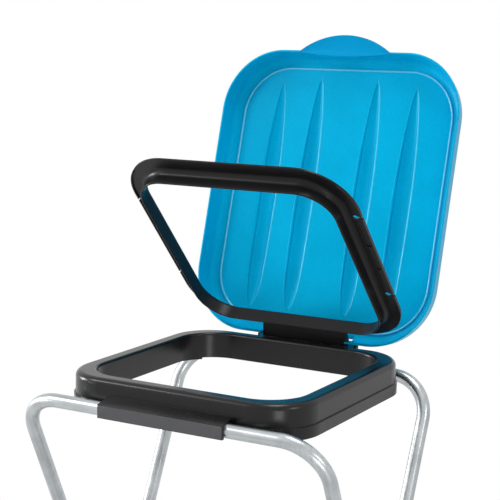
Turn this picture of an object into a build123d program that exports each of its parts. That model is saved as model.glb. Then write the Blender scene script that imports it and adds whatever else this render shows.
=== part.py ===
from build123d import *
import os
from math import atan, cos, degrees, radians, sin

# A folding bin bag holder: two crossed tube frames carry a square bag ring, and a clamp ring
# and a lid swing on one hinge pin behind it. It is modelled as it stands open, in millimetres,
# with +Z up, -Y at its front, and the origin on the floor midway between its front and back.

# Height of the stand and the place of its bag ring
ring_top = 850.0
ring_y = -57.2

# Bag ring, a channel that is open underneath
ring_width = 348.0
ring_depth = 342.0
ring_corner = 65.0
ring_height = 44.5
ring_bar = 25.0
ring_opening_corner = 52.0
ring_inner_height = 36.0
ring_wall = 3.0
ring_round = 8.0
ring_inner_round = 3.5
ring_draft = 1.0
band_height = 15.0
band_step = 2.0
rear_relief_drop = 23.5

# Frame tubes
tube_radius = 9.0
tube_wall = 1.5
bend_radius = 55.0
bar_drop = 34.2
bar_gap = 0.2
pivot_drop = 395.0
front_leg_x = 216.5
leg_gap = 1.6

# Foot caps
foot_radius = 11.5
foot_length = 40.0
foot_sole = 3.0
foot_fit = 0.05

# Frame pivots
bolt_radius = 3.0
bolt_fit = 0.1
bolt_head_radius = 6.0
bolt_head_height = 3.4
bolt_head_round = 1.6
washer_radius = 8.0
washer_thickness = 1.2
nut_flats = 10.0
nut_height = 5.0
nut_dome_radius = 4.4
nut_gap = 0.3
thread_fit = 0.05

# Front sleeve and rear hook that hold the tubes
sleeve_half_length = 90.0
sleeve_wall = 3.0
sleeve_fit = 0.1
sleeve_top_drop = 20.0
sleeve_face_drop = 26.0
sleeve_bottom_drop = 43.0
sleeve_mouth = 15.0
hook_half_length = 60.0
hook_wall = 3.0
hook_gap = 0.35
hook_round = 3.0

# Hinge behind the ring
hinge_behind = 22.0
hinge_drop = 6.2
pin_radius = 2.5
pin_fit = 0.05
pin_running_fit = 0.1
knuckle_radius = 5.0
lug_centre_x = 34.0
lug_width = 12.0
lug_post_depth = 8.0
lug_post_back = 0.5
knuckle_gap = 2.0
knuckle_side_gap = 1.0
leaf_half_width = 66.0
ear_width = 8.0
ear_gap = 1.0
cap_gap = 0.5
cap_length = 4.0
cap_wall = 1.5

# Clamp ring
clamp_lift = 47.6
clamp_opening_side_inset = 7.0
clamp_opening_end_inset = 4.0
clamp_opening_corner = 45.0
clamp_side_inset = 6.5
clamp_end_inset = 3.5
clamp_corner = 72.0
flange_lift = 2.0
flange_thickness = 2.5
skirt_depth = 18.2
skirt_wall = 2.5
cove_radius = 8.0
clamp_inner_round = 6.0
skirt_round = 1.0
lip_width = 2.0
lip_depth = 1.9
lip_reach = 17.5
slot_width = 3.4
slot_depth = 9.5
slot_hole_radius = 4.0
slot_places = (84.0, -70.0)
gusset_places = (29.0, -17.0)
gusset_length = 7.0
gusset_step = 0.6
gusset_thickness = 1.6
leaf_thickness = 2.5
leaf_foot_behind = 14.8
leaf_foot_drop = 14.0
leaf_rib = 2.5
leaf_rib_height = 2.5

# Lid
lid_swing = 106.0
lid_side_overlap = 14.5
lid_front_overhang = 56.0
lid_hinge_gap = 2.0
lid_corner = 90.0
lid_depth = 31.0
lid_wall = 2.5
lid_side_slope = 8.0
lid_end_slope = 7.0
lid_floor_corner = 85.0
lid_round = 13.0
lid_rim_drop = 24.5
notch_depth = 30.4
notch_reach = 30.0
tab_half_width = 74.0
tab_reach = 23.5
tab_dip = 9.0
tab_thickness = 2.5
flute_outer_x = 108.0
flute_inner_x = 45.7
flute_radius = 13.9
flute_depth = 9.0
flute_wall = 2.2
flute_back_gap = 28.0
flute_outer_gap = 32.0
flute_inner_gap = 22.0

# Sizes and places worked out from the sizes above
ring_bottom = ring_top - ring_height
opening_width = ring_width - 2 * ring_bar
opening_depth = ring_depth - 2 * ring_bar
bar_z = ring_top - bar_drop
bar_reach = ring_depth / 2 + tube_radius + bar_gap
front_bar_y = ring_y - bar_reach
rear_bar_y = ring_y + bar_reach
pivot_z = bar_z - pivot_drop
leg_tilt = degrees(atan(bar_reach / pivot_drop))
leg_back = sin(radians(leg_tilt))
leg_down = cos(radians(leg_tilt))
rear_leg_x = front_leg_x - 2 * tube_radius - leg_gap
foot_end = (foot_sole + tube_radius * leg_back) / leg_down
hinge_back = ring_depth / 2 + hinge_behind
hinge_y = ring_y + hinge_back
hinge_z = ring_top - hinge_drop
clamp_width = ring_width - 2 * clamp_side_inset
clamp_length = ring_depth - 2 * clamp_end_inset
clamp_opening_width = opening_width - 2 * clamp_opening_side_inset
clamp_opening_length = opening_depth - 2 * clamp_opening_end_inset
lid_rear_reach = hinge_back - lid_hinge_gap
lid_front_reach = ring_depth / 2 + lid_front_overhang
lid_width = ring_width + 2 * lid_side_overlap
lid_length = lid_rear_reach + lid_front_reach
lid_shift = (lid_front_reach - lid_rear_reach) / 2
lid_floor_width = lid_width - 2 * lid_side_slope
lid_floor_length = lid_length - 2 * lid_end_slope
flute_back = flute_back_gap - lid_floor_length / 2
flute_outer_front = lid_floor_length / 2 - flute_outer_gap
flute_inner_front = lid_floor_length / 2 - flute_inner_gap


def swing(y, z, angle):
    """Turn a point of the Y-Z plane about the hinge pin, from the closed place by an angle."""
    turn = radians(angle)
    back = y - hinge_y
    up = z - hinge_z
    return (hinge_y + back * cos(turn) - up * sin(turn), hinge_z + back * sin(turn) + up * cos(turn))


def frame_path(side):
    """Corners of one U-shaped tube's centre line; side is -1 for the front bar, 1 for the rear."""
    leg_x = front_leg_x if side < 0 else rear_leg_x
    bar_y = ring_y + side * bar_reach
    reach = bar_z / leg_down - foot_end
    foot_y = bar_y - side * reach * leg_back
    foot_z = bar_z - reach * leg_down
    return [(-leg_x, foot_y, foot_z), (-leg_x, bar_y, bar_z), (leg_x, bar_y, bar_z), (leg_x, foot_y, foot_z)]


os.makedirs("parts", exist_ok=True)

# Front and rear frame tubes: each is one bent tube, drilled across both legs for the pivots
with BuildPart() as front_frame_tube:
    with BuildLine() as front_line:
        FilletPolyline(*frame_path(-1), radius=bend_radius)
    with BuildSketch(Plane(origin=front_line.line @ 0, z_dir=front_line.line % 0)):
        Circle(tube_radius)
        Circle(tube_radius - tube_wall, mode=Mode.SUBTRACT)
    sweep(path=front_line.line)
    with BuildSketch(Plane.YZ):
        with Locations((ring_y, pivot_z)):
            Circle(bolt_radius + bolt_fit)
    extrude(amount=front_leg_x + 2 * tube_radius, both=True, mode=Mode.SUBTRACT)
front_frame_tube.part.label = "front_frame_tube"
export_step(front_frame_tube.part, "parts/front_frame_tube.step")

with BuildPart() as rear_frame_tube:
    with BuildLine() as rear_line:
        FilletPolyline(*frame_path(1), radius=bend_radius)
    with BuildSketch(Plane(origin=rear_line.line @ 0, z_dir=rear_line.line % 0)):
        Circle(tube_radius)
        Circle(tube_radius - tube_wall, mode=Mode.SUBTRACT)
    sweep(path=rear_line.line)
    with BuildSketch(Plane.YZ):
        with Locations((ring_y, pivot_z)):
            Circle(bolt_radius + bolt_fit)
    extrude(amount=front_leg_x + 2 * tube_radius, both=True, mode=Mode.SUBTRACT)
rear_frame_tube.part.label = "rear_frame_tube"
export_step(rear_frame_tube.part, "parts/rear_frame_tube.step")

# Foot caps: a plastic boot over each tube end, cut flat where it stands on the floor
for leg_name, leg_side, bar_side in (
    ("front_left", -1, 1),
    ("front_right", 1, 1),
    ("rear_left", -1, -1),
    ("rear_right", 1, -1),
):
    leg_x = leg_side * (rear_leg_x if bar_side > 0 else front_leg_x)
    floor_y = ring_y + bar_side * (bar_reach - bar_z * leg_back / leg_down)
    leg_axis = (0, bar_side * leg_back, leg_down)
    with BuildPart() as foot_cap:
        with BuildSketch(Plane(origin=(leg_x, floor_y, 0), z_dir=leg_axis).offset(-foot_radius)):
            Circle(foot_radius)
        extrude(amount=foot_radius + foot_length)
        fillet(foot_cap.faces().sort_by(Axis.Z)[-1].edges(), 1.0)
        with BuildSketch(Plane(origin=(leg_x, floor_y, 0), z_dir=leg_axis).offset(foot_end)):
            Circle(tube_radius + foot_fit)
        extrude(amount=foot_length, mode=Mode.SUBTRACT)
        split(bisect_by=Plane.XY, keep=Keep.TOP)
    foot_cap.part.label = leg_name + "_foot_cap"
    export_step(foot_cap.part, "parts/" + leg_name + "_foot_cap.step")

# Frame pivots, one on each side: a bolt from outside, a washer between the legs, a cap nut inside
for side_name, side in (("left", -1), ("right", 1)):
    outer_face = front_leg_x + tube_radius
    inner_face = rear_leg_x - tube_radius - nut_gap
    bolt_plane = Plane(origin=(0, ring_y, pivot_z), x_dir=(0, 1, 0), z_dir=(side, 0, 0))
    with BuildPart() as pivot_bolt:
        with BuildSketch(bolt_plane.offset(inner_face - nut_height)):
            Circle(bolt_radius)
        extrude(amount=outer_face - inner_face + nut_height)
        with BuildSketch(bolt_plane.offset(outer_face)):
            Circle(bolt_head_radius)
        extrude(amount=bolt_head_height)
        fillet(pivot_bolt.edges().sort_by(Axis((0, 0, 0), (side, 0, 0)))[-1], bolt_head_round)
    pivot_bolt.part.label = "pivot_bolt_" + side_name
    export_step(pivot_bolt.part, "parts/pivot_bolt_" + side_name + ".step")

    with BuildPart() as pivot_washer:
        with BuildSketch(bolt_plane.offset(front_leg_x - tube_radius)):
            Circle(washer_radius)
            Circle(bolt_radius + bolt_fit, mode=Mode.SUBTRACT)
        extrude(amount=-washer_thickness)
    pivot_washer.part.label = "pivot_washer_" + side_name
    export_step(pivot_washer.part, "parts/pivot_washer_" + side_name + ".step")

    with BuildPart() as pivot_nut:
        with BuildSketch(bolt_plane.offset(inner_face)):
            RegularPolygon(radius=nut_flats / 2, side_count=6, major_radius=False)
        extrude(amount=-nut_height)
        with BuildSketch(bolt_plane.offset(inner_face - nut_height)):
            Circle(nut_dome_radius)
        extrude(amount=-nut_dome_radius / 2, taper=20)
        with BuildSketch(bolt_plane.offset(inner_face)):
            Circle(bolt_radius + thread_fit)
        extrude(amount=-nut_height, mode=Mode.SUBTRACT)
    pivot_nut.part.label = "pivot_nut_" + side_name
    export_step(pivot_nut.part, "parts/pivot_nut_" + side_name + ".step")

# Bag ring: a square channel moulding with a front sleeve, a rear hook and two hinge lugs
with BuildPart() as base_ring:
    with BuildSketch(Plane.XY.offset(ring_bottom)):
        with Locations((0, ring_y)):
            RectangleRounded(ring_width, ring_depth, ring_corner)
    extrude(amount=band_height)
    with BuildSketch(Plane.XY.offset(ring_bottom + band_height)):
        with Locations((0, ring_y)):
            RectangleRounded(
                ring_width - 2 * band_step, ring_depth - 2 * band_step, ring_corner - band_step
            )
    extrude(amount=ring_height - band_height, taper=ring_draft)
    fillet(base_ring.faces().sort_by(Axis.Z)[-1].edges(), ring_round)
    with BuildSketch(Plane.XY.offset(ring_top)):
        with Locations((0, ring_y)):
            RectangleRounded(opening_width, opening_depth, ring_opening_corner)
    extrude(amount=-ring_height, mode=Mode.SUBTRACT)
    fillet(base_ring.faces().sort_by(Axis.Z)[-1].inner_wires()[0].edges(), ring_inner_round)

    # The hollow underneath, and the inner wall's higher bottom edge
    hollow_inset = band_step + ring_wall
    with BuildSketch(Plane.XY.offset(ring_bottom)) as hollow:
        with Locations((0, ring_y)):
            RectangleRounded(
                ring_width - 2 * hollow_inset, ring_depth - 2 * hollow_inset, ring_corner - hollow_inset
            )
            RectangleRounded(
                opening_width + 2 * ring_wall,
                opening_depth + 2 * ring_wall,
                ring_opening_corner + ring_wall,
                mode=Mode.SUBTRACT,
            )
    extrude(amount=ring_height - ring_wall, taper=ring_draft, mode=Mode.SUBTRACT)
    with BuildSketch(Plane.XY.offset(ring_bottom)):
        with Locations((0, ring_y)):
            RectangleRounded(
                opening_width + 2 * ring_wall + 1,
                opening_depth + 2 * ring_wall + 1,
                ring_opening_corner + ring_wall,
            )
    extrude(amount=ring_height - ring_inner_height, mode=Mode.SUBTRACT)

    # Relief over the rear tube, so that the tube can leave the ring downwards and forwards
    relief_start = opening_depth / 2 + ring_wall + 1
    with BuildSketch(Plane.XY.offset(ring_bottom)):
        with Locations((0, ring_y + (relief_start + ring_depth / 2 + 1) / 2)):
            Rectangle(ring_width, ring_depth / 2 + 1 - relief_start)
    extrude(amount=ring_height - rear_relief_drop, mode=Mode.SUBTRACT)

    # Front sleeve round the tube, open underneath so that it snaps over
    sleeve_face = front_bar_y - tube_radius - sleeve_fit - sleeve_wall
    sleeve_root = ring_y - ring_depth / 2 + band_step + ring_wall / 2
    with BuildSketch(Plane.YZ):
        with BuildLine():
            Polyline(
                (sleeve_root, ring_top - sleeve_top_drop),
                (sleeve_face, ring_top - sleeve_face_drop),
                (sleeve_face, ring_top - sleeve_bottom_drop),
                (sleeve_root, ring_top - sleeve_bottom_drop),
                close=True,
            )
        make_face()
        with Locations((front_bar_y, bar_z)):
            Circle(tube_radius + sleeve_fit, mode=Mode.SUBTRACT)
        with Locations((front_bar_y, bar_z - ring_height / 2)):
            Rectangle(sleeve_mouth, ring_height, mode=Mode.SUBTRACT)
    extrude(amount=sleeve_half_length, both=True)

    # Rear hook over and behind the tube
    hook_top = bar_z + tube_radius + hook_gap
    hook_inner = rear_bar_y + tube_radius + hook_gap
    hook_root = ring_y + ring_depth / 2 - band_step - ring_wall + ring_draft
    with BuildSketch(Plane.YZ) as hook:
        with BuildLine():
            Polyline(
                (hook_root, hook_top + hook_wall),
                (hook_inner + hook_wall, hook_top + hook_wall),
                (hook_inner + hook_wall, ring_bottom),
                (hook_inner, ring_bottom),
                (hook_inner, hook_top),
                (hook_root, hook_top),
                close=True,
            )
        make_face()
        fillet(hook.vertices().sort_by(Axis.Y)[-2:].sort_by(Axis.X)[-1], hook_round)
    extrude(amount=hook_half_length, both=True)

    # Hinge lugs, which stand on the hook and pass up through gaps in the clamp ring's leaf
    for lug_side in (-1, 1):
        with BuildSketch(Plane.YZ.offset(lug_side * lug_centre_x - lug_width / 2)):
            with Locations((hinge_y + lug_post_back, (hinge_z + hook_top) / 2)):
                Rectangle(lug_post_depth, hinge_z - hook_top)
            with Locations((hinge_y, hinge_z)):
                Circle(knuckle_radius)
                Circle(pin_radius + pin_fit, mode=Mode.SUBTRACT)
        extrude(amount=lug_width)
base_ring.part.label = "base_ring"
export_step(base_ring.part, "parts/base_ring.step")

# Hinge pin through the lugs, the clamp ring's leaf and the lid's ears, with a cap on each end
ear_inner = leaf_half_width + ear_gap
ear_outer = ear_inner + ear_width
cap_inner = ear_outer + cap_gap
pin_end = cap_inner + cap_length - cap_wall
with BuildPart() as hinge_pin:
    with BuildSketch(Plane.YZ):
        with Locations((hinge_y, hinge_z)):
            Circle(pin_radius)
    extrude(amount=pin_end, both=True)
hinge_pin.part.label = "hinge_pin"
export_step(hinge_pin.part, "parts/hinge_pin.step")

for side_name, side in (("left", -1), ("right", 1)):
    cap_plane = Plane(origin=(0, hinge_y, hinge_z), x_dir=(0, 1, 0), z_dir=(side, 0, 0))
    with BuildPart() as pin_cap:
        with BuildSketch(cap_plane.offset(cap_inner)):
            Circle(pin_radius + cap_wall)
        extrude(amount=cap_length)
        fillet(pin_cap.edges().sort_by(Axis((0, 0, 0), (side, 0, 0)))[-1], 1.0)
        with BuildSketch(cap_plane.offset(cap_inner)):
            Circle(pin_radius + pin_fit)
        extrude(amount=cap_length - cap_wall, mode=Mode.SUBTRACT)
    pin_cap.part.label = "hinge_pin_cap_" + side_name
    export_step(pin_cap.part, "parts/hinge_pin_cap_" + side_name + ".step")

# Clamp ring, which presses the bag's hem onto the ring; its frame has Y to the free edge
clamp_y, clamp_z = swing(ring_y, ring_top, -clamp_lift)
clamp_front = (0, -cos(radians(clamp_lift)), sin(radians(clamp_lift)))
clamp_up = (0, sin(radians(clamp_lift)), cos(radians(clamp_lift)))
clamp_plane = Plane(origin=(0, clamp_y, clamp_z), x_dir=(-1, 0, 0), z_dir=clamp_up)
clamp_side = Plane(origin=(0, clamp_y, clamp_z), x_dir=clamp_front, z_dir=(-1, 0, 0))
flange_top = flange_lift + flange_thickness
clamp_axis = Axis((0, clamp_y, clamp_z), clamp_up)
with BuildPart() as clamp_ring:
    with BuildSketch(clamp_plane.offset(-skirt_depth)):
        RectangleRounded(
            clamp_opening_width + 2 * skirt_wall,
            clamp_opening_length + 2 * skirt_wall,
            clamp_opening_corner + skirt_wall,
        )
    extrude(amount=skirt_depth + flange_top)
    with BuildSketch(clamp_plane.offset(flange_lift)):
        RectangleRounded(clamp_width, clamp_length, clamp_corner)
    extrude(amount=flange_thickness)
    cove_edges = (
        clamp_ring.faces().filter_by(clamp_plane).sort_by(clamp_axis)[1].inner_wires()[0].edges()
    )
    fillet(cove_edges, cove_radius)
    with BuildSketch(clamp_plane.offset(flange_top)):
        RectangleRounded(clamp_opening_width, clamp_opening_length, clamp_opening_corner)
    extrude(amount=-skirt_depth - flange_top, mode=Mode.SUBTRACT)
    clamp_top = clamp_ring.faces().filter_by(clamp_plane).sort_by(clamp_axis)[-1]
    fillet(clamp_top.inner_wires()[0].edges(), clamp_inner_round)
    clamp_foot = clamp_ring.faces().filter_by(clamp_plane).sort_by(clamp_axis)[0]
    fillet(clamp_foot.edges(), skirt_round)

    # Snap lips along both sides, on the flange's underside
    with BuildSketch(clamp_plane.offset(flange_lift)):
        RectangleRounded(clamp_width, clamp_length, clamp_corner)
        RectangleRounded(
            clamp_width - 2 * lip_width,
            clamp_length - 2 * lip_width,
            clamp_corner - lip_width,
            mode=Mode.SUBTRACT,
        )
        Rectangle(clamp_width - 2 * lip_reach, clamp_length, mode=Mode.SUBTRACT)
    extrude(amount=-lip_depth)

    # Slots that free a springy tongue on each side
    with BuildSketch(clamp_plane.offset(flange_top)):
        for slot_side in (-1, 1):
            for slot_y in slot_places:
                with Locations((slot_side * (clamp_width - slot_depth) / 2, slot_y)):
                    Rectangle(slot_depth + 1, slot_width)
                with Locations((slot_side * (clamp_width / 2 - slot_depth), slot_y)):
                    Circle(slot_hole_radius)
    extrude(amount=-flange_thickness - 2 * lip_depth, mode=Mode.SUBTRACT)

    # Gussets behind each tongue's lip
    with BuildSketch(clamp_plane.offset(flange_lift)):
        for gusset_side in (-1, 1):
            for gusset_y in gusset_places:
                with Locations((gusset_side * (clamp_width / 2 - lip_width - gusset_length / 2), gusset_y)):
                    Rectangle(gusset_length, gusset_thickness)
    extrude(amount=-lip_depth + gusset_step)

    # Hinge leaf: a plate that slopes down behind the ring's rounding, and a web back to the pin
    leaf_root = -clamp_length / 2 + 2 * lip_width
    leaf_edge = -clamp_length / 2
    leaf_foot = -ring_depth / 2 - leaf_foot_behind
    leaf_foot_z = -leaf_foot_drop
    pin_y = -hinge_back
    pin_z = -hinge_drop
    with BuildSketch(clamp_side):
        with BuildLine():
            Polyline(
                (leaf_root, flange_lift),
                (leaf_edge + leaf_thickness / 2, flange_lift),
                (leaf_foot + leaf_thickness, leaf_foot_z),
                (pin_y + leaf_thickness / 2, pin_z - leaf_thickness),
                (pin_y - leaf_thickness / 2, pin_z + leaf_thickness / 2),
                (leaf_foot, leaf_foot_z + 2 * leaf_thickness),
                (leaf_edge - leaf_thickness / 2, flange_top),
                (leaf_root, flange_top),
                close=True,
            )
        make_face()
    extrude(amount=leaf_half_width, both=True)
    for rib_side in (-1, 1):
        with BuildSketch(clamp_side.offset(rib_side * (leaf_half_width - leaf_rib / 2))):
            with BuildLine():
                Polyline(
                    (leaf_edge, flange_top),
                    (leaf_edge - leaf_rib_height, flange_top),
                    (pin_y, pin_z + knuckle_radius),
                    (pin_y, pin_z),
                    (leaf_foot + leaf_thickness, leaf_foot_z),
                    close=True,
                )
            make_face()
        extrude(amount=leaf_rib / 2, both=True)
    with BuildSketch(clamp_side):
        with Locations((pin_y, pin_z)):
            Circle(knuckle_radius)
    extrude(amount=leaf_half_width, both=True)
    for lug_side in (-1, 1):
        with BuildSketch(clamp_side.offset(lug_side * lug_centre_x)):
            with Locations((pin_y, pin_z)):
                Circle(knuckle_radius + knuckle_gap)
        extrude(amount=lug_width / 2 + knuckle_side_gap, both=True, mode=Mode.SUBTRACT)
    with BuildSketch(clamp_side):
        with Locations((pin_y, pin_z)):
            Circle(pin_radius + pin_running_fit)
    extrude(amount=leaf_half_width, both=True, mode=Mode.SUBTRACT)
clamp_ring.part.label = "clamp_ring"
export_step(clamp_ring.part, "parts/clamp_ring.step")

# Lid, a shallow tray with four long flutes; its frame has Y to the free edge and Z out of its top
lid_y, lid_z = swing(ring_y - lid_shift, ring_top - lid_rim_drop, -lid_swing)
lid_front = (0, -cos(radians(lid_swing)), sin(radians(lid_swing)))
lid_up = (0, sin(radians(lid_swing)), cos(radians(lid_swing)))
lid_plane = Plane(origin=(0, lid_y, lid_z), x_dir=(-1, 0, 0), z_dir=lid_up)
lid_side = Plane(origin=(0, lid_y, lid_z), x_dir=lid_front, z_dir=(-1, 0, 0))
lid_axis = Axis((0, lid_y, lid_z), lid_up)
flute_axis_z = lid_depth + flute_depth - flute_radius
flutes = (
    (-flute_outer_x, flute_outer_front),
    (-flute_inner_x, flute_inner_front),
    (flute_inner_x, flute_inner_front),
    (flute_outer_x, flute_outer_front),
)


def flute_profile(front, grow):
    """Points of a flute's outline, from its back tip to its front tip, as radius along the lid."""
    tip = flute_radius - flute_depth
    length = front - flute_back
    shape = (
        (0.0, -0.1), (0.06, 0.5), (0.2, 0.9), (0.42, 1.0),
        (0.64, 0.92), (0.83, 0.54), (0.94, 0.17), (1.0, -0.1),
    )
    return [(flute_back + share * length, tip + rise * flute_depth + grow) for share, rise in shape]


# The space inside the tray, with the flutes' insides, which the lid is hollowed by
with BuildPart() as lid_hollow:
    with BuildSketch(lid_plane):
        RectangleRounded(lid_width - 2 * lid_wall, lid_length - 2 * lid_wall, lid_corner - lid_wall)
    with BuildSketch(lid_plane.offset(lid_depth)):
        RectangleRounded(lid_floor_width, lid_floor_length, lid_floor_corner)
    loft()
    fillet(lid_hollow.faces().sort_by(lid_axis)[-1].edges(), lid_round)
    for flute_x, flute_front in flutes:
        outline = flute_profile(flute_front, 0.0)
        with BuildSketch(lid_side.offset(flute_x)):
            with BuildLine():
                tip_back = (outline[0][0], flute_axis_z)
                tip_front = (outline[-1][0], flute_axis_z)
                rising = Spline(*[(y, flute_axis_z + r) for y, r in outline])
                Line(tip_back, rising @ 0)
                Line(rising @ 1, tip_front)
                Line(tip_front, tip_back)
            make_face()
        revolve(axis=Axis(lid_side.offset(flute_x).from_local_coords((0, flute_axis_z, 0)), lid_front))

with BuildPart() as lid:
    with BuildSketch(lid_plane):
        RectangleRounded(lid_width, lid_length, lid_corner)
    with BuildSketch(lid_plane.offset(lid_depth + lid_wall)):
        RectangleRounded(
            lid_floor_width + 2 * lid_wall, lid_floor_length + 2 * lid_wall, lid_floor_corner + lid_wall
        )
    loft()
    fillet(lid.faces().sort_by(lid_axis)[-1].edges(), lid_round + lid_wall)

    # Raised outsides of the flutes
    for flute_x, flute_front in flutes:
        outline = flute_profile(flute_front, flute_wall)
        with BuildSketch(lid_side.offset(flute_x)):
            with BuildLine():
                tip_back = (outline[0][0] - flute_wall, flute_axis_z)
                tip_front = (outline[-1][0] + flute_wall, flute_axis_z)
                rising = Spline(*[(y, flute_axis_z + r) for y, r in outline])
                Line(tip_back, rising @ 0)
                Line(rising @ 1, tip_front)
                Line(tip_front, tip_back)
            make_face()
        revolve(axis=Axis(lid_side.offset(flute_x).from_local_coords((0, flute_axis_z, 0)), lid_front))
    add(lid_hollow.part, mode=Mode.SUBTRACT)

    # Finger tab on the free edge, a lens that also dips inside the rim
    with BuildSketch(lid_plane):
        with BuildLine():
            tab_left = (-tab_half_width, lid_length / 2 - lid_wall)
            tab_right = (tab_half_width, lid_length / 2 - lid_wall)
            ThreePointArc(tab_left, (0, lid_length / 2 + tab_reach), tab_right)
            ThreePointArc(tab_right, (0, lid_length / 2 - tab_dip), tab_left)
        make_face()
    extrude(amount=tab_thickness)

    # Notch in the back wall for the clamp ring's leaf, and the hinge ears beside it
    lid_pin = lid_side.to_local_coords(Vector(0, hinge_y, hinge_z))
    with BuildSketch(lid_plane.offset(-1)):
        with Locations((0, -lid_length / 2 + notch_reach / 2 - 1)):
            Rectangle(2 * ear_inner, notch_reach + 2)
    extrude(amount=notch_depth + 1, mode=Mode.SUBTRACT)
    ear_root = -lid_floor_length / 2 - lid_wall / 2
    for ear_side in (-1, 1):
        with BuildSketch(lid_side.offset(ear_side * (ear_inner + ear_width / 2))):
            with Locations((lid_pin.X, lid_pin.Y)):
                Circle(knuckle_radius)
            with Locations(((lid_pin.X + ear_root) / 2, lid_pin.Y)):
                Rectangle(ear_root - lid_pin.X, 2 * knuckle_radius)
            with Locations((lid_pin.X, lid_pin.Y)):
                Circle(pin_radius + pin_running_fit, mode=Mode.SUBTRACT)
        extrude(amount=ear_width / 2, both=True)
lid.part.label = "lid"
export_step(lid.part, "parts/lid.step")
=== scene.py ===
"""Looks for the folding bin bag holder: finishes, small moulded details, studio light and camera."""

import logging
import math
from dataclasses import dataclass, field, replace
from enum import Enum

import bmesh
import bpy
import numpy as np
from mathutils import Matrix, Vector


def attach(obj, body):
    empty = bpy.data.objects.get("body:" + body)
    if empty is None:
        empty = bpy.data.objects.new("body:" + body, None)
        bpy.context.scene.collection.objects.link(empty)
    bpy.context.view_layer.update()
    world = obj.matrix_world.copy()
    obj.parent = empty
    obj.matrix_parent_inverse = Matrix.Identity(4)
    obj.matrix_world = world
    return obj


log = logging.getLogger("bin_bag_holder")

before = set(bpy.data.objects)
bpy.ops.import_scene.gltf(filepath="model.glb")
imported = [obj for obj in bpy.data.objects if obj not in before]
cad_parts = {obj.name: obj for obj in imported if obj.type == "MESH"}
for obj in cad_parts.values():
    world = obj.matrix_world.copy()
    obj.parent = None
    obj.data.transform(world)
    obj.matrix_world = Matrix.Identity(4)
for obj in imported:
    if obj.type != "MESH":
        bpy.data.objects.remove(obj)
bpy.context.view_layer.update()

Colour = tuple[float, float, float]
Point = tuple[float, float, float]
EditorPlace = tuple[float, float]

# The middle of the bag ring's top. Lengths are in metres where nothing else is said.
RING_CENTRE: Point = (0.0, -0.0572, 0.850)

# How far the tubes' bars are from the ring's middle, and how far above the side pivots
BAR_REACH = 0.1802
BAR_RISE = 0.395
LEG_TILT = math.atan2(BAR_REACH, BAR_RISE)

# About how far from the middle plane the tubes' bars end, and their legs begin
BAR_END = 0.15
LEG_START = 0.21

# How far the hinge pin is behind and below the middle of the ring's top
HINGE_BEHIND = 0.193
HINGE_DROP = 0.0062

# How far the middle of the closed lid's rim is ahead of and below the middle of the ring's top
LID_AHEAD = 0.018
LID_RIM_DROP = 0.0245

# How far the lid and the clamp ring stand open, in degrees
LID_SWING = 106.0
CLAMP_SWING = 47.6

# Scales of the slow and quick noises, per metre, and the value that they vary about
PLASTIC_CLOUD_SCALE = 14.0
PLASTIC_SPECK_SCALE = 420.0
TUBE_CLOUD_SCALE = 30.0
NOISE_MIDDLE = 0.5

# How much of a noise goes into the roughness
ROUGHNESS_SHARE = 0.12

# The drawn lines' scale along their length, as a share of the one across
DRAWN_STRETCH = 0.02

# How many rays the rounding of sharp edges sends out
BEVEL_SAMPLES = 6

# From this angle on, an edge between two faces of the trim stays sharp
SHARP_ANGLE = math.radians(42.0)

# A point this near to a plane lies on it
FLAT = 0.00001

# The photo's width, and the fitted camera's focal length and upward shift, in pixels
PHOTO_WIDTH = 500.0
FOCAL_PIXELS = 1418.21
RISE_PIXELS = 25.0

WHITE = (1.0, 1.0, 1.0, 1.0)


class Skin(Enum):
    """The kinds of surface that the holder's parts have."""

    MOULDED = "moulded_skin"
    DRAWN = "drawn_skin"


def add_node(
    tree: bpy.types.NodeTree, kind: str, place: EditorPlace, **inputs: object
) -> bpy.types.Node:
    """Add a node and set its inputs by name.

    Args:
        tree: the material or group tree.
        kind: Blender's node type.
        place: where the node stands in the editor.
        inputs: values by input name, with underscores for spaces.

    Returns:
        The new node.
    """
    node = tree.nodes.new(kind)
    node.location = place
    for name, value in inputs.items():
        node.inputs[name.replace("_", " ")].default_value = value
    return node


def add_math(
    tree: bpy.types.NodeTree, operation: str, place: EditorPlace, first: object, second: object
) -> bpy.types.NodeSocket:
    """Add a Math node.

    Args:
        tree: the material or group tree.
        operation: what the node works out.
        place: where it stands in the editor.
        first: its first input, a socket or a number.
        second: its second input, a socket or a number.

    Returns:
        The node's output.
    """
    node = tree.nodes.new("ShaderNodeMath")
    node.operation = operation
    node.location = place
    for socket, value in zip(node.inputs, (first, second)):
        if isinstance(value, bpy.types.NodeSocket):
            tree.links.new(value, socket)
        else:
            socket.default_value = value
    return node.outputs[0]


def new_group(name: str, inputs: dict[str, str], outputs: dict[str, str]) -> bpy.types.NodeTree:
    """Make an empty shader node group with named sockets.

    Args:
        name: the group's name.
        inputs: socket types by input name.
        outputs: socket types by output name.

    Returns:
        The group's node tree, with its Group Input and Group Output nodes.
    """
    group = bpy.data.node_groups.new(name, "ShaderNodeTree")
    for label, kind in inputs.items():
        group.interface.new_socket(name=label, in_out="INPUT", socket_type=kind)
    for label, kind in outputs.items():
        group.interface.new_socket(name=label, in_out="OUTPUT", socket_type=kind)
    group.nodes.new("NodeGroupInput").location = (-900, 0)
    group.nodes.new("NodeGroupOutput").location = (700, 0)
    return group


SKIN_INPUTS = {
    "Vector": "NodeSocketVector",
    "Color": "NodeSocketColor",
    "Roughness": "NodeSocketFloat",
    "Grain": "NodeSocketFloat",
    "Mottle": "NodeSocketFloat",
}
SKIN_OUTPUTS = {
    "Color": "NodeSocketColor",
    "Roughness": "NodeSocketFloat",
    "Height": "NodeSocketFloat",
}


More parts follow.
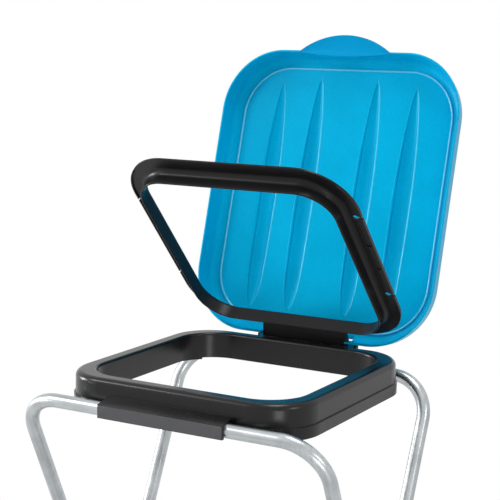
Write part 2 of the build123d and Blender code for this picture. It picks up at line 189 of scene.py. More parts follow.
def vary_skin(
    group: bpy.types.NodeTree, shading: bpy.types.NodeSocket, clouding: bpy.types.NodeSocket
) -> None:
    """Let a skin's colour and roughness vary, and put both out.

    The colour is the given one times one plus the shading times the mottle. The roughness is the
    given one plus a share of the clouding.

    Args:
        group: the skin's group.
        shading: what the colour follows, about zero.
        clouding: what the roughness follows, about zero.
    """
    given, result = group.nodes["Group Input"], group.nodes["Group Output"]
    links = group.links
    shade = add_math(group, "MULTIPLY", (-50, 100), shading, given.outputs["Mottle"])
    level = add_math(group, "ADD", (100, 100), shade, 1.0)
    tint = add_node(group, "ShaderNodeVectorMath", (250, 150))
    tint.operation = "SCALE"
    links.new(given.outputs["Color"], tint.inputs[0])
    links.new(level, tint.inputs["Scale"])
    links.new(tint.outputs[0], result.inputs["Color"])
    cloudy = add_math(group, "MULTIPLY", (100, -100), clouding, ROUGHNESS_SHARE)
    rough = add_math(group, "ADD", (250, -100), cloudy, given.outputs["Roughness"])
    links.new(rough, result.inputs["Roughness"])


def moulded_skin() -> bpy.types.NodeTree:
    """Build the group for moulded plastic: fine spark grain, a mottle and cloudy roughness.

    Returns:
        The group. Its height is a fine noise, its colour follows a slow noise plus a quick one,
        and its roughness follows the slow one.
    """
    group = new_group(Skin.MOULDED.value, SKIN_INPUTS, SKIN_OUTPUTS)
    given, result = group.nodes["Group Input"], group.nodes["Group Output"]
    links = group.links
    noise = "ShaderNodeTexNoise"
    grain = add_node(group, noise, (-600, -200), Detail=3.0, Roughness=0.6)
    cloud = add_node(group, noise, (-600, 200), Scale=PLASTIC_CLOUD_SCALE, Detail=4.0, Roughness=0.55)
    speck = add_node(group, noise, (-600, 0), Scale=PLASTIC_SPECK_SCALE, Detail=2.0, Roughness=0.5)
    for texture in (grain, cloud, speck):
        links.new(given.outputs["Vector"], texture.inputs["Vector"])
    links.new(given.outputs["Grain"], grain.inputs["Scale"])
    slow = add_math(group, "SUBTRACT", (-400, 200), cloud.outputs["Fac"], NOISE_MIDDLE)
    quick = add_math(group, "SUBTRACT", (-400, 0), speck.outputs["Fac"], NOISE_MIDDLE)
    vary_skin(group, add_math(group, "ADD", (-250, 100), slow, quick), slow)
    links.new(grain.outputs["Fac"], result.inputs["Height"])
    return group


def drawn_skin() -> bpy.types.NodeTree:
    """Build the group for drawn tube: long lines along its legs and its bar, and soft clouds.

    Returns:
        The group. A noise stretched along Z gives the legs' lines, and one stretched along X the
        bar's. A ramp of the distance from the middle plane mixes them, about where the tubes bend.
        Its height is that mix, and its colour and roughness follow the mix plus a slow noise.
    """
    group = new_group(Skin.DRAWN.value, SKIN_INPUTS, SKIN_OUTPUTS)
    given, result = group.nodes["Group Input"], group.nodes["Group Output"]
    links = group.links
    noise = "ShaderNodeTexNoise"
    drawn = []
    for height, scale in ((-200, (1.0, 1.0, DRAWN_STRETCH)), (-450, (DRAWN_STRETCH, 1.0, 1.0))):
        stretch = add_node(group, "ShaderNodeMapping", (-950, height), Scale=scale)
        links.new(given.outputs["Vector"], stretch.inputs["Vector"])
        lines = add_node(group, noise, (-750, height), Detail=3.0, Roughness=0.55)
        links.new(stretch.outputs[0], lines.inputs["Vector"])
        links.new(given.outputs["Grain"], lines.inputs["Scale"])
        drawn.append(lines.outputs["Fac"])
    leg_lines, bar_lines = drawn
    split = add_node(group, "ShaderNodeSeparateXYZ", (-950, -700))
    links.new(given.outputs["Vector"], split.inputs[0])
    away = add_math(group, "ABSOLUTE", (-750, -700), split.outputs["X"], 0.0)
    ramp = add_node(group, "ShaderNodeMapRange", (-600, -700), From_Min=BAR_END, From_Max=LEG_START)
    links.new(away, ramp.inputs["Value"])
    change = add_math(group, "SUBTRACT", (-500, -300), leg_lines, bar_lines)
    share = add_math(group, "MULTIPLY", (-400, -400), change, ramp.outputs["Result"])
    mixed = add_math(group, "ADD", (-400, -200), share, bar_lines)
    cloud = add_node(group, noise, (-550, 150), Scale=TUBE_CLOUD_SCALE, Detail=3.0, Roughness=0.5)
    links.new(given.outputs["Vector"], cloud.inputs["Vector"])
    streak = add_math(group, "SUBTRACT", (-300, -200), mixed, NOISE_MIDDLE)
    patch = add_math(group, "SUBTRACT", (-350, 150), cloud.outputs["Fac"], NOISE_MIDDLE)
    both = add_math(group, "ADD", (-200, 0), streak, patch)
    vary_skin(group, both, both)
    links.new(mixed, result.inputs["Height"])
    return group


@dataclass(frozen=True)
class Finish:
    """One procedural finish.

    Attributes:
        name: the material's name.
        colour: its linear colour.
        roughness: its middle roughness.
        skin: which surface group it uses.
        grain: the fine noise's scale, per metre.
        mottle: how far its colour varies.
        bump: the depth of its grain.
        metallic: 1 for metal.
        specular: the shader's specular level.
        turn: how its grain is turned about X, in radians.
        edge: the radius by which sharp edges look rounded; 0 leaves them sharp.
        tint: the tint of its reflections seen straight on.
    """

    name: str
    colour: Colour
    roughness: float
    skin: Skin = Skin.MOULDED
    grain: float = 900.0
    mottle: float = 0.05
    bump: float = 0.00002
    metallic: float = 0.0
    specular: float = 0.5
    turn: float = 0.0
    edge: float = 0.0006
    tint: Colour = (1.0, 1.0, 1.0)

    def material(self, groups: dict[Skin, bpy.types.NodeTree]) -> bpy.types.Material:
        """Make the finish's material.

        Args:
            groups: the surface groups by kind.

        Returns:
            A node material that reads Object coordinates.
        """
        made = bpy.data.materials.new(self.name)
        made.use_nodes = True
        tree = made.node_tree
        links = tree.links
        shader = tree.nodes["Principled BSDF"]
        shader.inputs["Metallic"].default_value = self.metallic
        shader.inputs["Specular IOR Level"].default_value = self.specular
        shader.inputs["Specular Tint"].default_value = (*self.tint, 1.0)
        where = add_node(tree, "ShaderNodeTexCoord", (-900, 0))
        turned = add_node(tree, "ShaderNodeMapping", (-700, 0), Rotation=(self.turn, 0.0, 0.0))
        skin = tree.nodes.new("ShaderNodeGroup")
        skin.node_tree = groups[self.skin]
        skin.location = (-450, 0)
        skin.inputs["Color"].default_value = (*self.colour, 1.0)
        skin.inputs["Roughness"].default_value = self.roughness
        skin.inputs["Grain"].default_value = self.grain
        skin.inputs["Mottle"].default_value = self.mottle
        bump = add_node(tree, "ShaderNodeBump", (-200, -250), Strength=1.0, Distance=self.bump)
        if self.edge > 0.0:
            rounded = add_node(tree, "ShaderNodeBevel", (-450, -350), Radius=self.edge)
            rounded.samples = BEVEL_SAMPLES
            links.new(rounded.outputs[0], bump.inputs["Normal"])
        links.new(where.outputs["Object"], turned.inputs["Vector"])
        links.new(turned.outputs[0], skin.inputs["Vector"])
        links.new(skin.outputs["Color"], shader.inputs["Base Color"])
        links.new(skin.outputs["Roughness"], shader.inputs["Roughness"])
        links.new(skin.outputs["Height"], bump.inputs["Height"])
        links.new(bump.outputs[0], shader.inputs["Normal"])
        return made


LID_BLUE = Finish(
    "lid_blue",
    (0.0, 0.40, 0.69),
    0.34,
    mottle=0.3,
    bump=0.00003,
    specular=0.17,
    edge=0.0012,
    tint=(0.05, 0.8, 1.0),
)
# Painted highlight: a lighter, glossier copy of the lid's blue, put only on the flutes' edges on one
# side, where light catches them.
HIGHLIGHT_EDGE_BLUE = Finish(
    "lid_edge_painted_highlight", (0.02, 0.44, 0.70), 0.26, bump=0.00001, specular=0.9, tint=(0.4, 1.0, 1.0)
)
# Painted shade: a darker copy of the lid's blue for the finger tab's dish, where its surface leans away
# from the light.
SHADED_TAB_BLUE = Finish(
    "lid_tab_painted_shade", (0.0, 0.27, 0.56), 0.36, mottle=0.2, specular=0.26, tint=(0.05, 0.8, 1.0)
)
# Painted highlight: a lighter copy of the lid's blue for the floor's border bead.
HIGHLIGHT_LINE_BLUE = Finish("lid_line_painted_highlight", (0.05, 0.50, 0.74), 0.25, bump=0.00001, specular=0.8)
CLAMP_CHARCOAL = Finish(
    "clamp_charcoal",
    (0.0062, 0.0060, 0.0070),
    0.34,
    grain=1400.0,
    mottle=0.2,
    bump=0.000003,
    specular=0.2,
)
RING_GREY = Finish(
    "ring_grey", (0.005, 0.0047, 0.0053), 0.26, grain=1400.0, mottle=0.2, bump=0.000003, specular=0.32
)
# Painted light: a far paler grey than the ring's own, for the sleeve's front face where light falls on
# it.
LIT_SLEEVE_GREY = Finish(
    "sleeve_painted_light_grey", (0.085, 0.086, 0.092), 0.62, grain=700.0, mottle=0.3, bump=0.000008, specular=0.3
)
FOOT_BLACK = Finish(
    "foot_black", (0.012, 0.012, 0.013), 0.55, grain=700.0, mottle=0.25, bump=0.00004
)
TUBE_FRONT = Finish(
    "tube_aluminium_front",
    (0.44, 0.465, 0.475),
    0.30,
    skin=Skin.DRAWN,
    grain=240.0,
    mottle=0.75,
    bump=0.000001,
    metallic=1.0,
    turn=-LEG_TILT,
    edge=0.0,
)
TUBE_REAR = replace(TUBE_FRONT, name="tube_aluminium_rear", turn=LEG_TILT)
ZINC = Finish(
    "zinc_plate",
    (0.55, 0.56, 0.58),
    0.32,
    skin=Skin.DRAWN,
    grain=600.0,
    mottle=0.12,
    bump=0.00001,
    metallic=1.0,
)
NYLON = Finish("natural_nylon", (0.62, 0.60, 0.55), 0.45, grain=800.0, mottle=0.06)


@dataclass
class PartDress:
    """Gives the CAD nodes their finishes.

    Attributes:
        finishes: the finish of each node by its name.
    """

    finishes: dict[str, Finish] = field(
        default_factory=lambda: {
            "front_frame_tube": TUBE_FRONT,
            "rear_frame_tube": TUBE_REAR,
            "front_left_foot_cap": FOOT_BLACK,
            "front_right_foot_cap": FOOT_BLACK,
            "rear_left_foot_cap": FOOT_BLACK,
            "rear_right_foot_cap": FOOT_BLACK,
            "pivot_bolt_left": ZINC,
            "pivot_bolt_right": ZINC,
            "pivot_nut_left": ZINC,
            "pivot_nut_right": ZINC,
            "pivot_washer_left": NYLON,
            "pivot_washer_right": NYLON,
            "base_ring": RING_GREY,
            "clamp_ring": CLAMP_CHARCOAL,
            "lid": LID_BLUE,
            "hinge_pin": ZINC,
            "hinge_pin_cap_left": FOOT_BLACK,
            "hinge_pin_cap_right": FOOT_BLACK,
        }
    )

    def dress(self, groups: dict[Skin, bpy.types.NodeTree]) -> dict[str, bpy.types.Material]:
        """Put each node's finish in its material slots.

        Args:
            groups: the surface groups by kind.

        Returns:
            The materials by their finishes' names.
        """
        made: dict[str, bpy.types.Material] = {}
        for node_name, finish in self.finishes.items():
            if finish.name not in made:
                made[finish.name] = finish.material(groups)
            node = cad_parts[node_name]
            for slot in node.material_slots:
                slot.material = made[finish.name]
            log.info("dressed %s in %s", node_name, finish.name)
        return made


@dataclass(frozen=True)
class SwungFrame:
    """The own frame of a piece that swings on the hinge pin, as it stands open.

    Its Y runs to the piece's free edge and its Z out of the piece's top.

    Attributes:
        swing: how far the piece is open, in radians.
        closed: the Y and Z of the frame's origin when the piece is closed.
        hinge: the hinge pin's Y and Z.
    """

    swing: float
    closed: tuple[float, float]
    hinge: tuple[float, float] = (RING_CENTRE[1] + HINGE_BEHIND, RING_CENTRE[2] - HINGE_DROP)

    def axes(self) -> tuple[np.ndarray, np.ndarray]:
        """Work out the frame's origin and axes.

        Returns:
            The closed origin turned back about the pin, and the X, Y and Z axes as rows.
        """
        cos, sin = math.cos(self.swing), math.sin(self.swing)
        back, up = self.closed[0] - self.hinge[0], self.closed[1] - self.hinge[1]
        y = self.hinge[0] + back * cos + up * sin
        z = self.hinge[1] - back * sin + up * cos
        return np.array([0.0, y, z]), np.array([[-1.0, 0.0, 0.0], [0.0, -cos, sin], [0.0, sin, cos]])

    def place(self, points: np.ndarray) -> np.ndarray:
        """Take points from the piece's frame to the shared frame."""
        origin, axes = self.axes()
        return origin + points @ axes

    def take(self, points: np.ndarray) -> np.ndarray:
        """Take points from the shared frame to the piece's frame."""
        origin, axes = self.axes()
        return (points - origin) @ axes.T


LID_FRAME = SwungFrame(
    math.radians(LID_SWING), (RING_CENTRE[1] - LID_AHEAD, RING_CENTRE[2] - LID_RIM_DROP)
)
CLAMP_FRAME = SwungFrame(math.radians(CLAMP_SWING), (RING_CENTRE[1], RING_CENTRE[2]))


def rounded_path(
    width: float, length: float, corner: float, steps: int
) -> tuple[np.ndarray, np.ndarray]:
    """Lay points round a rounded rectangle, and their outward directions.

    Args:
        width: its size along X.
        length: its size along Y.
        corner: its corners' radius.
        steps: points on each corner.

    Returns:
        Points and outward unit vectors, each (4 * steps, 2): each corner's centre plus the radius
        times the cosine and sine of even angles.
    """
    quarter = np.linspace(0.0, math.pi / 2.0, steps)
    angles = (quarter[None, :] + np.arange(4)[:, None] * math.pi / 2.0).reshape(-1)
    outward = np.stack([np.cos(angles), np.sin(angles)], 1)
    signs = np.repeat(np.array([[1.0, 1.0], [-1.0, 1.0], [-1.0, -1.0], [1.0, -1.0]]), steps, axis=0)
    centres = signs * np.array([width / 2.0 - corner, length / 2.0 - corner])
    return centres + corner * outward, outward


def swept(
    name: str, rings: np.ndarray, closed: bool, paint: bpy.types.Material
) -> bpy.types.Object:
    """Make a smooth closed surface from rings of points that follow a path.

    Args:
        name: the object's name.
        rings: points as (places along the path, points round each ring, 3).
        closed: whether the path comes back to its start; an open one gets a cap on each end.
        paint: the surface's material.

    Returns:
        The object: each quad joins neighbours i and i + 1 along the path, j and j + 1 round it.
    """
    along, around = rings.shape[:2]
    i, j = np.meshgrid(np.arange(along if closed else along - 1), np.arange(around), indexing="ij")
    after, beside = (i + 1) % along, (j + 1) % around
    corners = [i * around + j, after * around + j, after * around + beside, i * around + beside]
    faces = np.stack(corners, -1).reshape(-1, 4).tolist()
    if not closed:
        last = (along - 1) * around
        faces += [list(range(around)), list(range(last, last + around))]
    mesh = bpy.data.meshes.new(name)
    mesh.from_pydata(rings.reshape(-1, 3).tolist(), [], faces)
    shell = bmesh.new()
    shell.from_mesh(mesh)
    bmesh.ops.recalc_face_normals(shell, faces=shell.faces)
    shell.to_mesh(mesh)
    shell.free()
    mesh.shade_smooth()
    mesh.set_sharp_from_angle(angle=SHARP_ANGLE)
    mesh.materials.append(paint)
    made = bpy.data.objects.new(name, mesh)
    bpy.context.collection.objects.link(made)
    return made


@dataclass
class LidTrim:
    """The lid's fine moulded lines: its floor's border, its flutes' rounded edges and its tab. The border
    and one edge of each flute carry painted highlight, and the tab's dish carries painted shade.

    Attributes:
        floor_depth: how far inside the rim the floor lies.
        line_width: the border line's size across the lid.
        line_length: its size along the lid.
        line_corner: its corners' radius.
        line_radius: half the line's thickness.
        line_steps: points on each of its corners.
        line_sides: points round its thickness.
        flute_x: how far the flutes' middles are from the lid's middle.
        flute_reach: more than half a flute's width.
        flute_end: a little further along the lid than any flute's tip.
        flute_drop: how far the flutes' axes are from the floor, inside the lid.
        edge_width: how wide a flute's rounded edge is on the floor.
        edge_turn: how far it reaches down the flute's flank, in radians.
        edge_rise: about how far it stands out.
        edge_lean: how far outside the flute's edge its curve's handle is.
        edge_tip: how far it runs on past the flute's upper tip.
        edge_least: the least sine that its width follows.
        edge_sunk: how far it ends under the floor.
        edge_proud: how far it ends above the flank.
        root_out: how far outside the flute's edge its buried corner is.
        root_under: how far under the floor that corner is.
        edge_steps: places along it.
        edge_sides: points of its curve.
        tab_half: half the finger tab's width.
        tab_ends: where the tab's corners are along the lid.
        tab_top: where its free edge is along the lid.
        tab_foot: where its lower edge is along the lid.
        dish_rise: how far the dish's free edge stands out.
        dish_lip: how far its lower lip stands out.
        dish_base: how far all of it stands out at least.
        dish_sunk: how far its back is sunk in the tab.
        lip_share: how much of the dish, from its lower edge, the lip takes.
        end_gap: the share of the tab's width left free at each end.
        side_gap: the share of its height left free at each long edge.
        dish_steps: places along the dish.
        dish_sides: points across it.
    """

    floor_depth: float = 0.031
    line_width: float = 0.335
    line_length: float = 0.378
    line_corner: float = 0.072
    line_radius: float = 0.0018
    line_steps: int = 40
    line_sides: int = 10
    flute_x: tuple[float, ...] = (-0.108, -0.0457, 0.0457, 0.108)
    flute_reach: float = 0.0145
    flute_end: float = 0.181
    flute_drop: float = 0.0049
    edge_width: float = 0.0030
    edge_turn: float = 0.20
    edge_rise: float = 0.0007
    edge_lean: float = 0.0003
    edge_tip: float = 0.0085
    edge_least: float = 0.02
    edge_sunk: float = 0.00005
    edge_proud: float = 0.0001
    root_out: float = 0.0006
    root_under: float = 0.0008
    edge_steps: int = 90
    edge_sides: int = 9
    tab_half: float = 0.074
    tab_ends: float = 0.2065
    tab_top: float = 0.2325
    tab_foot: float = 0.200
    dish_rise: float = 0.0036
    dish_lip: float = 0.0016
    dish_base: float = 0.0002
    dish_sunk: float = 0.0005
    lip_share: float = 0.35
    end_gap: float = 0.01
    side_gap: float = 0.02
    dish_steps: int = 61
    dish_sides: int = 15

    def border(self, paint: bpy.types.Material) -> bpy.types.Object:
        """Sweep a small circle round the floor's edge, half sunk in the floor.

        Each point is the path's point plus the radius times a cosine outwards, and the floor's
        depth plus the radius times the sine.

        Args:
            paint: the line's material, a lighter blue that is painted highlight.

        Returns:
            The line's object.
        """
        path, outward = rounded_path(
            self.line_width, self.line_length, self.line_corner, self.line_steps
        )
        turn = np.linspace(0.0, 2.0 * math.pi, self.line_sides, endpoint=False)
        flat = path[:, None, :] + self.line_radius * np.cos(turn)[None, :, None] * outward[:, None, :]
        depth = np.broadcast_to(self.floor_depth + self.line_radius * np.sin(turn), flat.shape[:2])
        points = np.concatenate([flat, depth[..., None]], -1)
        return swept("lid_floor_line", LID_FRAME.place(points), True, paint)

    def floor_corners(self) -> np.ndarray:
        """Find the corner points of the lid's mesh that lie on its floor.

        Returns:
            The points in the lid's frame.
        """
        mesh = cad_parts["lid"].data
        found = np.empty(len(mesh.vertices) * 3)
        mesh.vertices.foreach_get("co", found)
        points = LID_FRAME.take(found.reshape(-1, 3))
        on_floor = np.abs(points[:, 2] - self.floor_depth) < FLAT
        return points[on_floor & (np.abs(points[:, 1]) < self.flute_end)]

    def edge_section(self, half: np.ndarray, share: np.ndarray) -> np.ndarray:
        """Work out the section of a flute's rounded edge at each place along it.

        It is a quadratic curve from the floor, over the edge, to the flank, which is an arc about
        the flute's axis. The curve's handle stands out by twice the edge's rise. A corner buried
        under the floor closes the section.

        Args:
            half: how far the flute's edge is from the flute's middle.
            share: how much of its full size the section has.

        Returns:
            Points as (places, points of the section, 2), across and down from the flute's axis.
        """
        drop = self.flute_drop
        radius = np.hypot(half, drop)
        angle = np.arcsin(drop / radius) + self.edge_turn * share
        floor = np.stack([half + self.edge_width * share, np.full_like(half, drop + self.edge_sunk)], 1)
        handle = np.stack([half + self.edge_lean * share, drop - 2.0 * self.edge_rise * share], 1)
        inner = radius - self.edge_proud
        flank = np.stack([inner * np.cos(angle), inner * np.sin(angle)], 1)
        root = np.stack([half + self.root_out * share, drop + self.root_under * share], 1)
        t = np.linspace(0.0, 1.0, self.edge_sides)[None, :, None]
        curve = (1 - t) ** 2 * floor[:, None] + 2 * t * (1 - t) * handle[:, None] + t**2 * flank[:, None]
        return np.concatenate([curve, root[:, None]], 1)

    def flute_edge(
        self, corners: np.ndarray, flute: int, side: int, paint: bpy.types.Material
    ) -> bpy.types.Object:
        """Round one long edge of a flute.

        Its sections follow the lid's own corner points, and narrow towards both tips by the square
        root of the sine of their place.

        Args:
            corners: the lid's points on its floor.
            flute: which flute, from 0.
            side: -1 or 1 for its two edges.
            paint: the edge's material; on the one side it is the lighter, glossier blue of painted
                highlight.

        Returns:
            The edge's object.
        """
        middle = self.flute_x[flute]
        across = side * (corners[:, 0] - middle)
        edge = corners[(across > 0.0) & (across < self.flute_reach)]
        edge = edge[np.argsort(edge[:, 1])]
        along = np.linspace(edge[0, 1], edge[-1, 1] + self.edge_tip, self.edge_steps)
        half = np.interp(along, edge[:, 1], side * (edge[:, 0] - middle))
        sine = np.sin(np.linspace(0.0, math.pi, self.edge_steps))
        share = np.clip(sine, self.edge_least, 1.0) ** 0.5
        section = self.edge_section(half, share)
        depth = section[..., 1] + self.floor_depth - self.flute_drop
        rows = np.broadcast_to(along[:, None], depth.shape)
        points = np.stack([middle + side * section[..., 0], rows, depth], -1)
        name = "lid_flute_edge_%d_%s" % (flute + 1, "b" if side > 0 else "a")
        return swept(name, LID_FRAME.place(points), False, paint)

    def tab_dish(self, paint: bpy.types.Material) -> bpy.types.Object:
        """Lay the shallow finger dish over the tab.

        It lies between two arcs through the tab's corners. It stands out by the square of the
        place between them, plus a square that falls off above the lower lip, so that it is hollow,
        all times the square root of a sine along the tab.

        Args:
            paint: the dish's material, a darker blue that is painted shade.

        Returns:
            The dish's object.
        """
        u = np.linspace(self.end_gap, 1.0 - self.end_gap, self.dish_steps)
        v = np.linspace(self.side_gap, 1.0 - self.side_gap, self.dish_sides)
        x = (2.0 * u - 1.0) * self.tab_half
        rise, fall = self.tab_top - self.tab_ends, self.tab_ends - self.tab_foot
        high = (self.tab_half**2 + rise**2) / (2.0 * rise)
        low = (self.tab_half**2 + fall**2) / (2.0 * fall)
        upper = self.tab_top - high + np.sqrt(high**2 - x**2)
        lower = self.tab_foot + low - np.sqrt(low**2 - x**2)
        y = lower[:, None] + v[None, :] * (upper - lower)[:, None]
        lip = np.clip(1.0 - v / self.lip_share, 0.0, 1.0)
        hollow = self.dish_rise * v**2 + self.dish_lip * lip**2
        out = self.dish_base + hollow[None, :] * np.sqrt(np.sin(math.pi * u))[:, None]
        wide = np.broadcast_to(x[:, None], y.shape)
        face = np.stack([wide, y, -out], -1)
        back = np.stack([wide, y, np.full_like(y, self.dish_sunk)], -1)[:, ::-1]
        points = np.concatenate([face, back], 1)
        return swept("lid_tab_dish", LID_FRAME.place(points), False, paint)

    def build(self, paints: dict[str, bpy.types.Material]) -> list[bpy.types.Object]:
        """Make the trim and let it ride on the lid.

        Args:
            paints: the materials by their finishes' names.

        Returns:
            The trim's pieces.
        """
        corners = self.floor_corners()
        # The edges on one side get the painted-highlight blue, those on the other side the lid's own
        # blue.
        edge_paints = {-1: paints[HIGHLIGHT_EDGE_BLUE.name], 1: paints[LID_BLUE.name]}
        pieces = [self.border(paints[HIGHLIGHT_LINE_BLUE.name]), self.tab_dish(paints[SHADED_TAB_BLUE.name])]
        for flute in range(len(self.flute_x)):
            for side, paint in edge_paints.items():
                pieces.append(self.flute_edge(corners, flute, side, paint))
        for piece in pieces:
            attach(piece, "lid")
        return pieces


@dataclass
class SleeveFace:
    """A thin plate that stands a hair proud of the bag ring's front sleeve, in a far paler grey than the
    ring: painted light on the sleeve's face.

    Attributes:
        half: half its width.
        sleeve: how far the sleeve's face is from the ring's middle.
        top: how far the plate's upper edge is below the ring's top.
        foot: how far its lower edge is below the ring's top.
        proud: how far it stands out of the sleeve.
        sunk: how far its back is sunk in the sleeve.
        slope: how much narrower its front is at the upper and lower edge.
        end_share: how thick its ends are, as a share of its thickness.
        steps: places along it.
    """

    half: float = 0.0897
    sleeve: float = 0.1923
    top: float = 0.0263
    foot: float = 0.0428
    proud: float = 0.0004
    sunk: float = 0.0003
    slope: float = 0.0006
    end_share: float = 0.4
    steps: int = 25

    def build(self, paint: bpy.types.Material) -> list[bpy.types.Object]:
        """Make the plate and let it ride on the bag ring.

        It is rows of one four-sided section, which is thinner at both ends.

        Args:
            paint: the plate's material, the paler grey of painted light.

        Returns:
            The plate, alone in a list.
        """
        across = np.linspace(-self.half, self.half, self.steps)
        share = np.where(np.abs(across) < self.half, 1.0, self.end_share)
        back = RING_CENTRE[1] - self.sleeve + self.sunk
        front = RING_CENTRE[1] - self.sleeve - self.proud
        high, low = RING_CENTRE[2] - self.top, RING_CENTRE[2] - self.foot
        y = back + (front - back) * np.array([0.0, 1.0, 1.0, 0.0])[None, :] * share[:, None]
        z = np.array([low, low + self.slope, high - self.slope, high])[None, :] * np.ones_like(y)
        points = np.stack([np.broadcast_to(across[:, None], y.shape), y, z], -1)
        plate = swept("sleeve_face", points, False, paint)
        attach(plate, "bag_ring")
        return [plate]


@dataclass
class ClampTrim:
    """The fine ribs on the clamp ring's underside, inside each springy tongue.

    Attributes:
        rib_x: how far the long ribs are from the ring's middle.
        rib_span: where the ribs start and end along the ring.
        underside: how high the flange's underside is.
        width: the ribs' width.
        height: how far they stand out.
        sunk: how far they are sunk in the flange.
        end_rise: how steeply they rise from their ends.
        end_share: how high they are at their ends, as a share of the whole.
        steps: places along a rib.
        sides: points of its section.
    """

    rib_x: float = 0.1575
    rib_span: tuple[float, float] = (-0.066, 0.080)
    underside: float = 0.002
    width: float = 0.0014
    height: float = 0.0013
    sunk: float = 0.0004
    end_rise: float = 4.0
    end_share: float = 0.2
    steps: int = 12
    sides: int = 9

    def rib(self, side: int, paint: bpy.types.Material) -> bpy.types.Object:
        """Make one long rib, half an ellipse carried along the ring.

        Each point is half the width times a cosine across, and the height times the sine down.
        The height is lower at the ends, by a sine of the place along the rib.

        Args:
            side: -1 for the right rib, 1 for the left one.
            paint: the rib's material.

        Returns:
            The rib's object.
        """
        along = np.linspace(*self.rib_span, self.steps)
        turn = np.linspace(0.0, math.pi, self.sides)
        sine = np.sin(np.linspace(0.0, math.pi, self.steps))
        share = np.clip(sine * self.end_rise, self.end_share, 1.0)
        x = side * self.rib_x + self.width / 2.0 * np.cos(turn)[None, :] * np.ones((self.steps, 1))
        down = (self.height + self.sunk) * np.sin(turn)[None, :] * share[:, None]
        z = self.underside + self.sunk - down
        points = np.stack([x, np.broadcast_to(along[:, None], x.shape), z], -1)
        name = "clamp_tongue_rib_" + ("right" if side < 0 else "left")
        return swept(name, CLAMP_FRAME.place(points), False, paint)

    def build(self, paint: bpy.types.Material) -> list[bpy.types.Object]:
        """Make both ribs and let them ride on the clamp ring.

        Args:
            paint: the ribs' material.

        Returns:
            The two ribs.
        """
        ribs = [self.rib(side, paint) for side in (-1, 1)]
        for rib in ribs:
            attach(rib, "clamp")
        return ribs


@dataclass(frozen=True)
class Lamp:
    """A square soft lamp.

    Attributes:
        name: the lamp's name.
        place: where it stands.
        size: the side of its square.
        power: its power in watts.
        aim: the point that it faces.
    """

    name: str
    place: Point
    size: float
    power: float
    aim: Point = (0.0, 0.0, 0.95)

    def hang(self) -> None:
        """Add the lamp to the scene, turned to face its aim."""
        data = bpy.data.lights.new(self.name, "AREA")
        data.shape = "SQUARE"
        data.size = self.size
        data.energy = self.power
        lamp = bpy.data.objects.new(self.name, data)
        lamp.location = self.place
        lamp.rotation_euler = (Vector(self.aim) - Vector(self.place)).to_track_quat("-Z", "Y").to_euler()
        bpy.context.collection.objects.link(lamp)


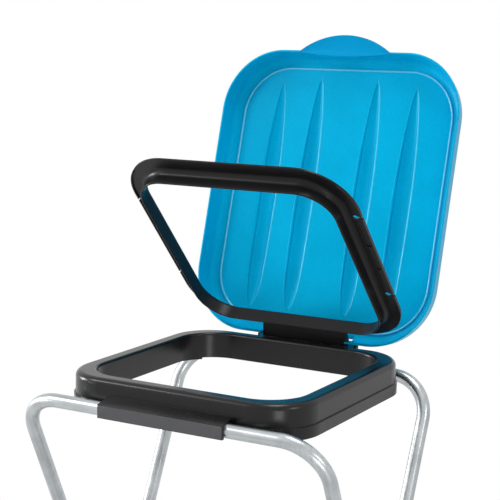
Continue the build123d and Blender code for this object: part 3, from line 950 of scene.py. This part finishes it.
@dataclass
class Studio:
    """The floor, the lamps, the world and the camera.

    Attributes:
        floor_radius: the floor disc's radius.
        floor_sides: points round the disc.
        floor_colour: its linear colour.
        floor_roughness: its roughness.
        floor_clear: radius inside which the floor shows its shadows in full.
        floor_fade: radius from which the floor is plain white.
        world_light: the strength of the world's light on the object.
        lamps: the lamps.
        azimuth: the camera's angle round the stand, in degrees, from the front to the right.
        elevation: the camera's angle above the level, in degrees.
        distance: from the camera to its target.
        focal: focal length in image widths.
        roll: the camera's roll, in degrees.
        target: what the camera is aimed at, from the bag ring's centre.
        rise: the frame's shift upwards, in image widths.
        sensor: the sensor's width in millimetres.
        clip_end: how far the camera sees.
    """

    floor_radius: float = 6.0
    floor_sides: int = 96
    floor_colour: Colour = (0.95, 0.95, 0.95)
    floor_roughness: float = 0.7
    floor_clear: float = 0.75
    floor_fade: float = 1.35
    world_light: float = 0.38
    lamps: tuple[Lamp, ...] = (
        Lamp("key", (-1.9, -1.6, 2.6), 0.7, 22.0),
        Lamp("side", (-3.0, -0.75, 1.3), 0.8, 48.0),
        Lamp("low", (-2.5, -2.2, 0.8), 0.7, 6.0),
        Lamp("corner", (2.1, -2.2, 0.35), 0.9, 14.0, aim=(0.0, 0.0, 0.85)),
        Lamp("fill", (2.6, -0.6, 1.9), 0.6, 9.0),
        Lamp("top", (0.3, -0.1, 3.0), 0.7, 16.0),
    )
    azimuth: float = 29.8328
    elevation: float = 9.9956
    distance: float = 1.83854
    focal: float = FOCAL_PIXELS / PHOTO_WIDTH
    roll: float = 0.7985
    target: Point = (0.014685, 0.0, 0.11884)
    rise: float = RISE_PIXELS / PHOTO_WIDTH
    sensor: float = 36.0
    clip_end: float = 50.0

    def floor(self) -> None:
        """Make the floor, a disc whose points are radius times cosine and sine of even angles."""
        angles = np.linspace(0.0, 2.0 * math.pi, self.floor_sides, endpoint=False)
        points = np.stack([np.cos(angles), np.sin(angles), np.zeros_like(angles)], 1) * self.floor_radius
        mesh = bpy.data.meshes.new("floor")
        mesh.from_pydata(points.tolist(), [], [list(range(len(points)))])
        disc = bpy.data.objects.new("floor", mesh)
        bpy.context.collection.objects.link(disc)
        mesh.materials.append(self.floor_paint())

    def floor_paint(self) -> bpy.types.Material:
        """Make the floor's paint: pale near the stand, and seen as plain white further out.

        Returns:
            The floor's material. The share of white is a ramp of the distance from the origin.
        """
        made = bpy.data.materials.new("floor_pale")
        made.use_nodes = True
        tree = made.node_tree
        links = tree.links
        shader = tree.nodes["Principled BSDF"]
        shader.inputs["Base Color"].default_value = (*self.floor_colour, 1.0)
        shader.inputs["Roughness"].default_value = self.floor_roughness
        where = add_node(tree, "ShaderNodeTexCoord", (-1000, 0))
        length = add_node(tree, "ShaderNodeVectorMath", (-800, 0))
        length.operation = "LENGTH"
        links.new(where.outputs["Object"], length.inputs[0])
        fade = add_node(
            tree, "ShaderNodeMapRange", (-600, 0), From_Min=self.floor_clear, From_Max=self.floor_fade
        )
        links.new(length.outputs["Value"], fade.inputs["Value"])
        shown = add_math(tree, "MULTIPLY", (0, 300), fade.outputs["Result"], self.seen(tree))
        white = add_node(tree, "ShaderNodeEmission", (-200, 200), Color=WHITE, Strength=1.0)
        mix = add_node(tree, "ShaderNodeMixShader", (200, 100))
        links.new(shown, mix.inputs[0])
        links.new(shader.outputs[0], mix.inputs[1])
        links.new(white.outputs[0], mix.inputs[2])
        links.new(mix.outputs[0], tree.nodes["Material Output"].inputs["Surface"])
        return made

    @staticmethod
    def seen(tree: bpy.types.NodeTree) -> bpy.types.NodeSocket:
        """Make the mask of the rays to which the background is white.

        Args:
            tree: the floor's or the world's node tree.

        Returns:
            A socket that is 1 for camera, transmission and glossy rays, and 0 for the others.
        """
        path = add_node(tree, "ShaderNodeLightPath", (-500, 500))
        camera, glass, gloss = (
            path.outputs[ray] for ray in ("Is Camera Ray", "Is Transmission Ray", "Is Glossy Ray")
        )
        direct = add_math(tree, "MAXIMUM", (-300, 500), camera, glass)
        return add_math(tree, "MAXIMUM", (-100, 500), direct, gloss)

    def world(self) -> None:
        """Make the world: a soft light, seen as white by the camera, in gloss and through glass."""
        world = bpy.data.worlds.new("studio")
        bpy.context.scene.world = world
        world.use_nodes = True
        tree = world.node_tree
        links = tree.links
        light = tree.nodes["Background"]
        light.inputs["Color"].default_value = WHITE
        light.inputs["Strength"].default_value = self.world_light
        white = add_node(tree, "ShaderNodeBackground", (0, 200), Color=WHITE, Strength=1.0)
        mix = add_node(tree, "ShaderNodeMixShader", (200, 100))
        links.new(self.seen(tree), mix.inputs[0])
        links.new(light.outputs[0], mix.inputs[1])
        links.new(white.outputs[0], mix.inputs[2])
        links.new(mix.outputs[0], tree.nodes["World Output"].inputs["Surface"])

    def camera(self) -> None:
        """Set the camera: it looks at its target from its angles, and is then rolled."""
        turn, lift, roll = (math.radians(v) for v in (self.azimuth, self.elevation, self.roll))
        back = Vector((math.sin(turn) * math.cos(lift), -math.cos(turn) * math.cos(lift), math.sin(lift)))
        level = (-back).cross(Vector((0.0, 0.0, 1.0))).normalized()
        upright = level.cross(-back)
        right = level * math.cos(roll) + upright * math.sin(roll)
        up = upright * math.cos(roll) - level * math.sin(roll)
        data = bpy.data.cameras.new("camera")
        data.sensor_width = self.sensor
        data.lens = self.focal * self.sensor
        data.shift_y = self.rise
        data.clip_end = self.clip_end
        camera = bpy.data.objects.new("camera", data)
        place = Vector(RING_CENTRE) + Vector(self.target) + back * self.distance
        turned = Matrix((right, up, back)).transposed().to_4x4()
        camera.matrix_world = Matrix.Translation(place) @ turned
        bpy.context.collection.objects.link(camera)
        bpy.context.scene.camera = camera

    def build(self) -> None:
        """Make the floor, the world, the lamps and the camera."""
        self.floor()
        self.world()
        for lamp in self.lamps:
            lamp.hang()
        self.camera()
        bpy.context.scene.view_settings.view_transform = "Standard"


def main() -> None:
    """Dress the parts, add the trim and set up the studio."""
    logging.basicConfig(level=logging.INFO, format="%(name)s: %(message)s")
    groups = {Skin.MOULDED: moulded_skin(), Skin.DRAWN: drawn_skin()}
    paints = PartDress().dress(groups)
    for finish in (HIGHLIGHT_EDGE_BLUE, HIGHLIGHT_LINE_BLUE, SHADED_TAB_BLUE, LIT_SLEEVE_GREY):
        paints[finish.name] = finish.material(groups)
    trim = LidTrim().build(paints)
    trim += ClampTrim().build(paints[CLAMP_CHARCOAL.name])
    trim += SleeveFace().build(paints[LIT_SLEEVE_GREY.name])
    for piece in trim:
        log.info("made %s", piece.name)
    Studio().build()


if __name__ == "__main__":
    main()
